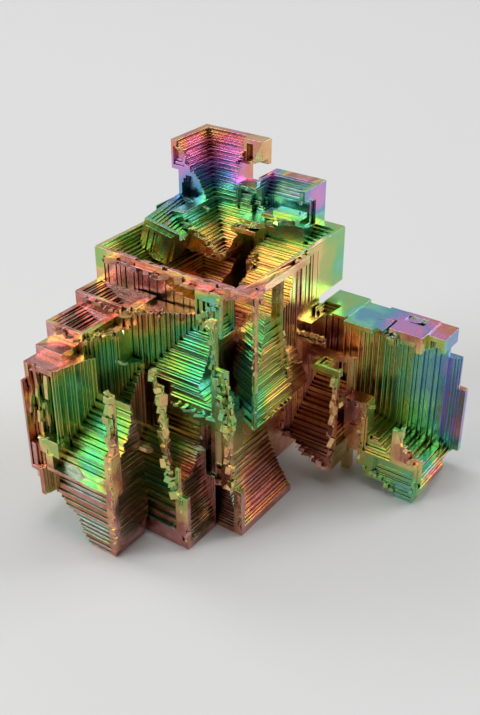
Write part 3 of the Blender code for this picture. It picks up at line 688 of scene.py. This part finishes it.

# ---------------------------------------------------------------- oxide film, with painted shade and highlights


# How far along the colours of a growing oxide film each stretch of the crystal is:
# its place, then the film on faces that look up, to the front and to the right.
# Values past 1.00 are painted shade, not film: they darken slits, gaps and sides in shadow.
FILM = {
    "tower_lip": ((-20.0, 18.0, 62.4), 0.12, 0.14, 0.18),
    "tower_upper": ((-19.0, 17.0, 60.0), 0.28, 0.20, 0.22),
    "tower_magenta": ((-18.0, 16.5, 58.0), 0.33, 0.28, 0.30),
    "tower_violet": ((-17.0, 15.5, 56.0), 0.42, 0.34, 0.34),
    "tower_blue": ((-15.5, 14.0, 53.5), 0.52, 0.46, 0.42),
    "tower_green": ((-13.5, 12.0, 51.0), 0.62, 0.66, 0.62),
    "tower_lime": ((-11.0, 9.5, 49.0), 0.70, 0.76, 0.74),
    "tower_yellow": ((-9.0, 7.5, 47.5), 0.80, 0.84, 0.82),
    "middle": ((-6.0, 5.0, 45.5), 0.87, 0.90, 0.92),
    "middle_front": ((-9.0, 1.0, 42.0), 0.88, 0.94, 0.93),
    "tower_right_end": ((-8.0, 18.0, 60.0), 0.10, 0.15, 0.12),
    "tower_right_under": ((-8.0, 17.0, 57.5), 0.14, 0.17, 0.14),
    "tower_inner_end": ((-10.6, 15.0, 57.0), 0.33, 0.31, 0.33),
    "tower_left_end": ((-21.0, 8.4, 58.0), 0.33, 0.31, 0.31),
    "tower_left_top": ((-21.6, 8.4, 61.4), 0.15, 0.16, 0.20),
    "tower_low_end": ((-18.5, 9.4, 52.0), 0.58, 0.44, 0.52),
    "back_block_lip": ((2.0, 19.0, 56.4), 1.00, 0.42, 0.38),
    "back_block_upper": ((1.0, 17.0, 55.0), 0.98, 0.50, 0.38),
    "back_block_hollow": ((0.0, 14.5, 51.6), 0.50, 0.49, 0.48),
    "back_block_side": ((6.2, 17.0, 53.0), 0.45, 0.40, 0.31),
    "back_block_low_side": ((6.2, 14.0, 49.5), 0.60, 0.60, 0.52),
    "teal_block": ((-6.0, 11.4, 52.0), 0.78, 0.57, 0.63),
    "leaf": ((3.0, 10.0, 51.6), 0.67, 0.72, 0.66),
    "lower_leaf": ((-3.0, 7.0, 48.5), 0.76, 0.80, 0.78),
    "back_terraces_high": ((5.0, 17.0, 48.0), 0.76, 0.74, 0.74),
    "back_terraces_middle": ((5.0, 11.0, 44.0), 0.82, 0.80, 0.80),
    "back_terraces_low": ((5.0, 4.0, 40.0), 0.80, 0.84, 0.82),
    "pit_edge": ((1.0, 6.0, 42.0), 0.82, 0.86, 0.84),
    "right_far_lip": ((11.5, 18.0, 48.2), 0.68, 0.70, 0.66),
    "right_far_face": ((11.3, 19.0, 42.0), 0.60, 0.60, 0.60),
    "right_ribs_far": ((11.0, 14.0, 44.0), 0.66, 0.64, 0.72),
    "right_ribs_high": ((11.0, 8.0, 46.0), 0.76, 0.74, 0.82),
    "right_ribs_near": ((12.6, 1.0, 44.0), 0.97, 0.98, 0.93),
    "right_ribs_low": ((10.0, 4.0, 36.0), 0.84, 0.96, 0.92),
    "left_top": ((-22.0, -4.0, 48.2), 0.76, 0.76, 0.76),
    "left_terraces": ((-16.0, -4.0, 45.0), 0.80, 0.84, 0.86),
    "left_terraces_low": ((-11.0, -8.0, 41.0), 0.90, 0.93, 0.92),
    "front_lip": ((-12.0, -15.5, 48.0), 0.98, 0.98, 0.97),
    "left_front_corner": ((-22.0, -15.0, 46.0), 0.78, 0.76, 0.70),
    "left_front_low": ((-22.0, -15.5, 42.0), 0.80, 0.92, 0.70),
    "front_lip_right": ((4.0, -15.0, 48.0), 0.98, 0.98, 0.92),
    "near_slab": ((11.0, -14.5, 47.8), 0.97, 0.96, 0.90),
    "pit": ((-1.0, -6.0, 38.0), 0.94, 0.94, 0.92),
    "pit_left_wall": ((-5.5, 6.0, 41.0), 0.92, 0.92, 0.92),
    # painted shade: faces that look up here are set past 1.00, darkening the shadowed slit along
    # the front ribs
    "front_ribs_left": ((-18.0, -15.0, 43.0), 1.12, 1.05, 0.80),
    "front_ribs": ((-9.0, -14.4, 42.0), 1.18, 0.96, 0.70),
    "front_ribs_right": ((-2.0, -13.4, 41.0), 1.18, 0.90, 0.62),
    "rib_foot_left": ((-17.0, -15.3, 41.4), 1.18, 1.05, 0.80),
    "rib_foot": ((-10.5, -15.4, 40.8), 1.20, 0.97, 0.80),
    "rib_foot_right": ((-6.0, -15.5, 40.5), 1.20, 0.94, 0.78),
    "rib_foot_end": ((-2.5, -16.0, 40.4), 1.20, 0.94, 0.70),
    "front_knob": ((5.0, -16.0, 44.0), 0.80, 0.60, 0.90),
    "tilted_top": ((-15.5, 3.0, 50.5), 0.60, 0.66, 0.60),
    "tilted_end": ((-15.0, -6.5, 48.0), 0.62, 0.68, 0.66),
    "tilted_low": ((-13.2, -6.0, 46.2), 0.64, 0.70, 0.66),
    "tilted_left": ((-18.0, -5.8, 49.5), 0.66, 0.72, 0.68),
    "first_frame_top": ((-15.0, -18.0, 41.5), 1.15, 1.04, 0.98),
    "first_frame_inner": ((-10.0, -19.0, 40.5), 0.78, 0.92, 0.80),
    "first_frame_front": ((-16.0, -21.8, 39.0), 0.98, 0.97, 0.74),
    "second_frame_top": ((-18.0, -26.0, 38.7), 1.14, 1.02, 0.98),
    "second_frame_inner": ((-13.0, -26.0, 37.6), 0.80, 0.78, 0.80),
    "second_frame_left": ((-22.0, -30.0, 36.0), 0.80, 0.94, 0.90),
    "second_frame_ribs": ((-17.0, -29.0, 33.0), 0.72, 0.93, 0.66),
    "first_terraces_left": ((-8.0, -19.0, 33.0), 0.58, 0.70, 0.60),
    "first_terraces_high": ((0.0, -16.0, 37.0), 0.56, 0.62, 0.58),
    "first_terraces_low": ((4.0, -19.0, 30.0), 0.59, 0.64, 0.60),
    "first_post": ((9.6, -21.0, 38.0), 0.70, 0.66, 0.68),
    "first_low_post": ((11.6, -21.8, 30.0), 0.66, 0.65, 0.80),
    "first_sill": ((6.0, -21.8, 25.0), 0.64, 0.66, 0.66),
    "first_undercut": ((-4.0, -20.0, 26.0), 0.62, 0.96, 1.04),
    "second_ribs": ((-11.0, -26.0, 33.0), 0.66, 0.70, 0.62),
    "second_ledge": ((-4.0, -24.0, 30.0), 0.70, 0.72, 0.74),
    "second_terraces": ((-1.0, -27.0, 22.0), 0.58, 0.66, 1.00),
    "second_terraces_low": ((2.0, -28.5, 12.0), 0.60, 0.66, 1.04),
    "second_foot": ((4.0, -29.9, 2.0), 0.62, 0.99, 0.93),
    "second_post": ((4.4, -29.9, 26.0), 0.76, 0.78, 0.80),
    "second_low_post": ((6.0, -29.9, 14.0), 0.66, 0.68, 0.84),
    # painted shade: faces that look to the right are set past 1.00, so these shadowed sides go dark
    "second_side_high": ((5.2, -26.0, 24.0), 0.84, 0.86, 1.22),
    "second_side_low": ((9.3, -26.0, 4.0), 0.90, 0.96, 1.18),
    "second_side": ((6.0, -25.0, 12.0), 0.90, 0.90, 1.24),
    "third_ribs": ((-11.0, -35.0, 30.0), 0.60, 0.66, 0.60),
    "third_left": ((-20.5, -39.0, 25.0), 0.98, 1.00, 0.80),
    "third_left_low": ((-20.4, -39.2, 17.0), 0.98, 1.00, 0.90),
    "third_left_high": ((-20.4, -39.2, 30.0), 0.98, 1.00, 0.90),
    "third_bark": ((-17.0, -37.8, 27.0), 0.62, 0.76, 0.66),
    "third_terraces": ((-7.0, -35.0, 24.0), 0.55, 0.60, 0.58),
    "third_terraces_low": ((-7.0, -38.0, 17.0), 0.60, 0.66, 0.62),
    "third_post": ((-0.5, -37.8, 29.0), 0.72, 0.72, 0.76),
    "third_post_orange": ((0.0, -38.6, 22.5), 0.86, 0.88, 0.86),
    "third_low_post": ((-0.4, -39.4, 14.0), 0.70, 0.98, 0.80),
    # painted shade: faces that look to the right are set past 1.00, so these shadowed sides go dark
    "third_side": ((0.3, -33.5, 20.0), 0.80, 0.82, 1.24),
    "third_side_high": ((0.2, -36.0, 27.0), 0.78, 0.80, 1.24),
    "third_side_near": ((0.4, -37.5, 12.0), 0.84, 0.90, 1.20),
    "third_side_far": ((0.3, -31.0, 12.0), 0.84, 0.90, 1.24),
    "third_low_side": ((0.3, -33.5, 6.0), 0.86, 0.86, 1.18),
    "third_top": ((-17.0, -34.0, 35.4), 1.11, 1.02, 0.96),
    "third_knob": ((-15.0, -38.0, 19.5), 0.72, 0.74, 0.76),
    "third_sill": ((-10.0, -39.4, 14.0), 0.61, 1.00, 0.90),
    "third_foot_terraces": ((-9.0, -38.6, 10.0), 0.56, 0.99, 0.60),
    "third_base": ((-6.0, -39.0, 4.0), 0.58, 0.98, 0.70),
    "low_front": ((9.0, -20.0, 5.0), 0.56, 0.96, 0.95),
    "low_front_lip": ((6.0, -21.0, 9.0), 0.60, 1.00, 0.95),
    # painted shade: its front is set past 1.00, for the shadowed front above the low cube
    "low_upper": ((8.0, -20.0, 16.0), 0.60, 1.12, 0.90),
    "low_post": ((12.6, -20.6, 17.0), 0.86, 0.86, 0.84),
    "low_side": ((14.0, -12.0, 5.0), 0.97, 0.97, 1.06),
    "low_side_lip": ((15.2, -12.0, 1.0), 0.90, 0.90, 0.92),
    "spire_right": ((13.5, -9.0, 32.0), 0.81, 0.80, 0.84),
    "spire_right_low": ((14.2, -9.0, 23.0), 0.79, 0.76, 0.82),
    # painted shade: the gap beside the spire is near black, standing for the shadow in it
    "spire_gap": ((3.8, -10.0, 31.0), 1.20, 1.24, 1.24),
    "spire_gap_low": ((3.8, -8.4, 26.0), 1.20, 1.24, 1.24),
    "spire_left_near": ((7.2, -11.0, 31.0), 0.55, 0.57, 0.60),
    "spire_left_edge": ((7.4, -11.2, 26.5), 0.56, 0.57, 0.60),
    "spire_left_upper": ((8.2, -11.8, 35.0), 0.57, 0.60, 0.60),
    "spire_left_high": ((9.8, -12.6, 38.0), 0.56, 0.57, 0.60),
    "spire_left_low": ((11.4, -14.0, 24.0), 0.58, 0.60, 0.60),
    "spire_left": ((8.6, -13.5, 30.0), 0.56, 0.57, 0.58),
    "spire_rib": ((14.2, -15.7, 36.0), 0.88, 0.89, 0.90),
    "gold_cluster": ((14.0, 3.0, 30.0), 0.85, 0.84, 0.86),
    "root_ribs": ((14.0, 7.0, 24.0), 0.92, 0.94, 0.94),
    "root_terraces": ((14.0, 5.0, 12.0), 0.93, 0.95, 0.94),
    "root_post": ((20.9, 3.0, 20.0), 0.89, 0.89, 0.87),
    "root_low_post": ((20.9, 2.0, 9.0), 0.87, 0.96, 0.86),
    "root_facet": ((19.0, 3.0, 27.4), 0.77, 0.80, 0.78),
    "root_foot": ((15.0, 2.0, 6.0), 0.90, 1.04, 1.00),
    "arm_top_near": ((15.0, 16.0, 34.0), 0.72, 0.80, 0.66),
    "arm_top_patch": ((13.0, 11.0, 34.0), 0.78, 0.84, 0.80),
    "arm_top_middle": ((20.0, 14.0, 33.4), 0.50, 0.80, 0.60),
    "arm_top_far": ((28.0, 14.0, 34.0), 0.38, 0.98, 0.40),
    "arm_top_block": ((31.0, 11.5, 33.5), 0.35, 0.98, 0.98),
    "arm_recess": ((30.0, 14.6, 33.0), 0.37, 0.40, 0.37),
    "arm_top_end": ((35.0, 18.0, 33.6), 0.24, 0.82, 0.40),
    "arm_ribs_near": ((13.0, 9.5, 28.0), 0.94, 0.97, 0.95),
    "arm_ribs_red": ((16.0, 10.0, 28.0), 0.94, 0.97, 0.95),
    "arm_ribs_gold": ((19.0, 9.0, 27.0), 0.88, 0.89, 0.86),
    "arm_ribs_olive": ((23.0, 11.0, 25.0), 0.80, 0.82, 0.78),
    "arm_ribs_green": ((27.0, 13.0, 24.0), 0.70, 0.72, 0.66),
    "arm_ribs_teal": ((30.5, 14.5, 22.0), 0.58, 0.63, 0.55),
    "arm_ribs_blue": ((33.5, 16.0, 22.0), 0.48, 0.56, 0.46),
    "arm_ribs_violet": ((36.5, 17.0, 24.0), 0.40, 0.40, 0.38),
    "arm_end": ((38.6, 20.0, 14.0), 0.44, 0.43, 0.38),
    "arm_end_top": ((39.0, 20.0, 19.2), 1.00, 0.42, 0.38),
    "arm_end_rim": ((39.4, 22.0, 12.0), 0.36, 0.36, 0.33),
    "arm_floor": ((24.0, 9.0, 15.0), 0.82, 0.84, 0.84),
    "arm_corner": ((30.4, 8.8, 19.4), 0.56, 0.57, 0.57),
    "magenta_patch": ((21.8, 7.0, 16.0), 0.99, 1.00, 1.00),
    "arm_terraces": ((33.0, 12.0, 12.0), 0.62, 0.66, 0.64),
    "arm_terraces_low": ((37.6, 13.0, 5.5), 0.58, 0.80, 0.98),
    "arm_foot_lip": ((38.5, 14.0, 3.0), 0.98, 0.90, 0.94),
    "arm_front": ((30.0, 6.3, 5.0), 0.72, 0.70, 0.70),
    "arm_front_tip": ((35.4, 6.3, 3.0), 0.66, 0.62, 0.66),
    "arm_front_point": ((34.0, 6.3, 11.0), 0.90, 0.90, 0.90),
    "arm_front_hollow": ((28.0, 9.0, 12.0), 0.78, 0.82, 0.80),
    "left_side": ((-22.0, 0.0, 34.0), 0.70, 0.70, 0.72),
    "left_low_side": ((-19.0, -8.0, 10.0), 0.84, 0.86, 0.88),
    "back_side": ((-8.0, 20.0, 34.0), 0.60, 0.58, 0.62),
    "back_foot": ((-4.0, 14.0, 12.0), 0.84, 0.86, 0.84),
    "under": ((-4.0, -2.0, 4.0), 0.92, 0.90, 0.94),
}

# The colours of the film in the order in which it thickens; past 1.00 they run down to near black
# as painted shade.
RAMP_END = 1.24
FILM_COLOURS = (
    (0.00, (0.70, 0.66, 0.58)),
    (0.08, (0.78, 0.62, 0.40)),
    (0.15, (0.80, 0.46, 0.20)),
    (0.22, (0.74, 0.28, 0.22)),
    (0.29, (0.78, 0.30, 0.52)),
    (0.36, (0.56, 0.30, 0.66)),
    (0.43, (0.26, 0.34, 0.62)),
    (0.50, (0.14, 0.42, 0.54)),
    (0.57, (0.25, 0.62, 0.50)),
    (0.64, (0.20, 0.56, 0.30)),
    (0.71, (0.34, 0.56, 0.18)),
    (0.77, (0.52, 0.54, 0.17)),
    (0.83, (0.80, 0.62, 0.24)),
    (0.88, (0.80, 0.46, 0.21)),
    (0.94, (0.48, 0.18, 0.13)),
    (1.00, (0.70, 0.36, 0.35)),
    # painted shade from here on: the colours run down to near black for faces in shadow
    (1.08, (0.42, 0.24, 0.18)),
    (1.16, (0.14, 0.10, 0.05)),
    (1.24, (0.08, 0.07, 0.04)),
)

WORN_EDGE_HIGHLIGHT = (0.94, 0.84, 0.80, 1.0)  # painted highlight on sharp edges, also standing for bare metal where the film is worn off


# A place counts by its distance in millimetres, plus REACH, to the power FALL.
REACH, FALL = 0.4, -4.0
DRIFT_SCALE, DRIFT = 420.0, 0.16  # slow changes in the film across a face
TERRACE_DRIFT = 0.05  # how far the film differs from one terrace to the next

ROUND = 0.00009  # how far a sharp edge is rounded off in the shading, in metres
FLAT, SHARP = 0.995, 0.86  # how well the rounded normal keeps to a face, and to a sharp edge
EDGE_HIGHLIGHT_SHARE = 0.34  # how far sharp edges go toward that painted highlight and worn bare metal
NEAR, FAR = 0.0007, 0.004  # how far away crystal casts painted shade into a hollow, in metres
HOLLOW, SHELTERED, DARKEST = 0.06, 0.5, 0.14  # painted shade: the openness where it is darkest and where it ends, and how dark it gets
ROUGHNESS = 0.25
GRAIN_SCALE, GRAIN_STRENGTH, GRAIN_DEPTH = 1800.0, 0.5, 0.0001

TABLE_SIZE, TABLE_GREY, TABLE_ROUGHNESS = 3.0, (0.66, 0.66, 0.66, 1.0), 0.6


class Nodes:
    """Adds nodes to a material's tree and links them as they are added."""

    def __init__(self, name):
        self.material = bpy.data.materials.new(name)
        self.material.use_nodes = True
        self.tree = self.material.node_tree
        self.shader = self.tree.nodes["Principled BSDF"]

    def add(self, kind, *inputs, out=0, **settings):
        """A node with its inputs filled in order. Returns one of its outputs."""
        node = self.tree.nodes.new(kind)
        for key, value in settings.items():
            setattr(node, key, value)
        for index, value in enumerate(inputs):
            self.put(node.inputs[index], value)
        return node.outputs[out]

    def put(self, socket, value):
        """Link another node's output to a socket, or set the socket to a plain value."""
        if isinstance(value, bpy.types.NodeSocket):
            self.tree.links.new(value, socket)
        elif value is not None:
            socket.default_value = value

    def maths(self, operation, *inputs):
        return self.add("ShaderNodeMath", *inputs, operation=operation)

    def vector(self, operation, *inputs, out=0):
        return self.add("ShaderNodeVectorMath", *inputs, operation=operation, out=out)


def film_and_shade_place(nodes, place, normal):
    """A blend of the film, and past 1.00 of painted shade, at the nearest places, for the way that
    the face looks.
    """
    facing = nodes.vector("ABSOLUTE", normal)
    weights, films = 0.0, (0.0, 0.0, 0.0)
    for where, up, front, right in FILM.values():
        away = nodes.vector("DISTANCE", place, point(*where), out=1)
        weight = nodes.maths("POWER", nodes.maths("MULTIPLY_ADD", away, 1 / MM, REACH), FALL)
        weights = nodes.maths("ADD", weight, weights)
        share = nodes.vector("SCALE", (right, front, up), None, None, weight)
        films = nodes.vector("ADD", share, films)
    film = nodes.vector("DOT_PRODUCT", films, facing, out=1)
    spread = nodes.vector("DOT_PRODUCT", facing, (1.0, 1.0, 1.0), out=1)
    ramp_place = nodes.maths("DIVIDE", film, nodes.maths("MULTIPLY", weights, spread))
    noise = nodes.add("ShaderNodeTexNoise", place, None, DRIFT_SCALE, 3.0, 0.6)
    drift = nodes.maths("MULTIPLY_ADD", noise, DRIFT, -DRIFT / 2)
    ramp_place = nodes.maths("ADD", ramp_place, drift)
    terrace = nodes.add("ShaderNodeAttribute", out=2, attribute_name="terrace")
    return nodes.maths("MULTIPLY_ADD", terrace, TERRACE_DRIFT, ramp_place)


def film_and_shade_colour(nodes, ramp_place):
    """The colour that a film of this thickness shows, and past 1.00 a painted shade."""
    ramp = nodes.tree.nodes.new("ShaderNodeValToRGB")
    elements = ramp.color_ramp.elements
    while len(elements) < len(FILM_COLOURS):
        elements.new(1.0)
    for element, (position, colour) in zip(elements, FILM_COLOURS):
        element.position = position / RAMP_END
        element.color = (*colour, 1.0)
    nodes.put(ramp.inputs[0], nodes.maths("DIVIDE", ramp_place, RAMP_END))
    return ramp.outputs[0]


def openness(nodes, distance):
    """How little crystal stands within a distance of a face, from 0 to 1."""
    return nodes.add(
        "ShaderNodeAmbientOcclusion", None, distance, out=1, only_local=True, samples=8
    )


def oxide_film_and_painted_light():
    """Iridescent oxide on bare bismuth: worn, with a painted highlight, on sharp edges; painted
    shade in deep slots.
    """
    nodes = Nodes("oxide_film_and_painted_light")
    place = nodes.add("ShaderNodeTexCoord", out=3)
    normal = nodes.add("ShaderNodeNewGeometry", out=3)
    colour = film_and_shade_colour(nodes, film_and_shade_place(nodes, place, normal))

    rounded = nodes.add("ShaderNodeBevel", ROUND, samples=6)
    bend = nodes.vector("DOT_PRODUCT", rounded, normal, out=1)
    edge = nodes.add("ShaderNodeMapRange", bend, FLAT, SHARP, 0.0, 1.0)
    open_near, open_far = openness(nodes, NEAR), openness(nodes, FAR)
    # painted highlight: open, sharp edges are mixed toward pale cream, also standing for wear
    edge_highlight = nodes.maths("MULTIPLY", edge, nodes.add("ShaderNodeMapRange", open_near, 0.75, 1.0))
    worn_and_highlit = nodes.add("ShaderNodeMixRGB", nodes.maths("MULTIPLY", edge_highlight, EDGE_HIGHLIGHT_SHARE), colour, WORN_EDGE_HIGHLIGHT)
    # painted shade: the colour darkens where crystal stands close, in slots, corners and hollows
    shade = nodes.maths("MULTIPLY", open_near, nodes.maths("POWER", open_far, 0.5))
    shade = nodes.add("ShaderNodeMapRange", shade, HOLLOW, SHELTERED, DARKEST, 1.0)
    shaded = nodes.vector("SCALE", worn_and_highlit, None, None, shade)

    fine = nodes.add("ShaderNodeTexNoise", place, None, GRAIN_SCALE, 4.0, 0.6)
    bump = nodes.tree.nodes.new("ShaderNodeBump")
    bump.inputs["Strength"].default_value = GRAIN_STRENGTH
    bump.inputs["Distance"].default_value = GRAIN_DEPTH
    nodes.put(bump.inputs["Height"], fine)
    nodes.put(bump.inputs["Normal"], rounded)

    nodes.put(nodes.shader.inputs["Base Color"], shaded)
    nodes.shader.inputs["Metallic"].default_value = 1.0
    nodes.shader.inputs["Roughness"].default_value = ROUGHNESS
    nodes.put(nodes.shader.inputs["Normal"], bump.outputs[0])
    return nodes.material


def table():
    """A plain pale table, dull enough to show no reflection of the crystal."""
    nodes = Nodes("pale_table")
    nodes.shader.inputs["Base Color"].default_value = TABLE_GREY
    nodes.shader.inputs["Roughness"].default_value = TABLE_ROUGHNESS
    return nodes.material


crystal.data.materials.clear()
crystal.data.materials.append(oxide_film_and_painted_light())
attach(crystal, "root")
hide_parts("bismuth_crystal")

# ---------------------------------------------------------------- table, lights and camera

deselect()
bpy.ops.mesh.primitive_plane_add(size=TABLE_SIZE, location=(0, 0, 0))
floor = bpy.context.object
floor.name = "table"
floor.data.materials.append(table())


def softbox(name, place, height, size, power):
    """A square soft light, aimed at a height over the middle of the table."""
    light = bpy.data.lights.new(name, "AREA")
    light.shape = "RECTANGLE"
    light.size = light.size_y = size
    light.energy = power
    lamp = bpy.data.objects.new(name, light)
    bpy.context.scene.collection.objects.link(lamp)
    lamp.location = place
    aim = Vector((0, 0, height)) - Vector(place)
    lamp.rotation_euler = aim.to_track_quat("-Z", "Y").to_euler()


# Flat tops mirror the box at the back left, which is dim. Treads under a riser mirror the others.
softbox("back_left", (-1.2, 1.7, 1.25), 0.02, 1.3, 2.8)
softbox("back_right", (1.2, 1.7, 1.25), 0.02, 1.3, 27.0)
softbox("front_left", (-1.2, -1.7, 1.25), 0.03, 1.3, 25.0)
softbox("left", (-2.0, -0.2, 1.2), 0.03, 1.0, 20.0)
softbox("overhead", (-0.15, 0.10, 1.6), 0.02, 0.7, 8.0)

world = bpy.data.worlds.new("studio")
bpy.context.scene.world = world
world.use_nodes = True
sky = world.node_tree.nodes["Background"]
sky.inputs["Color"].default_value = (0.8, 0.8, 0.8, 1.0)
sky.inputs["Strength"].default_value = 0.24
bpy.context.scene.view_settings.view_transform = "Standard"

VIEW_FROM = (98.3136, -139.6270, 125.3938)
VIEW_DOWN, VIEW_ROUND = radians(30.7), radians(35.15)
camera_data = bpy.data.cameras.new("camera")
camera_data.sensor_width = 36.0
camera_data.lens = 50.0
camera_data.clip_start = 0.01
camera = bpy.data.objects.new("camera", camera_data)
bpy.context.scene.collection.objects.link(camera)
camera.location = point(*VIEW_FROM)
camera.rotation_euler = (pi / 2 - VIEW_DOWN, 0.0, VIEW_ROUND)
bpy.context.scene.camera = camera
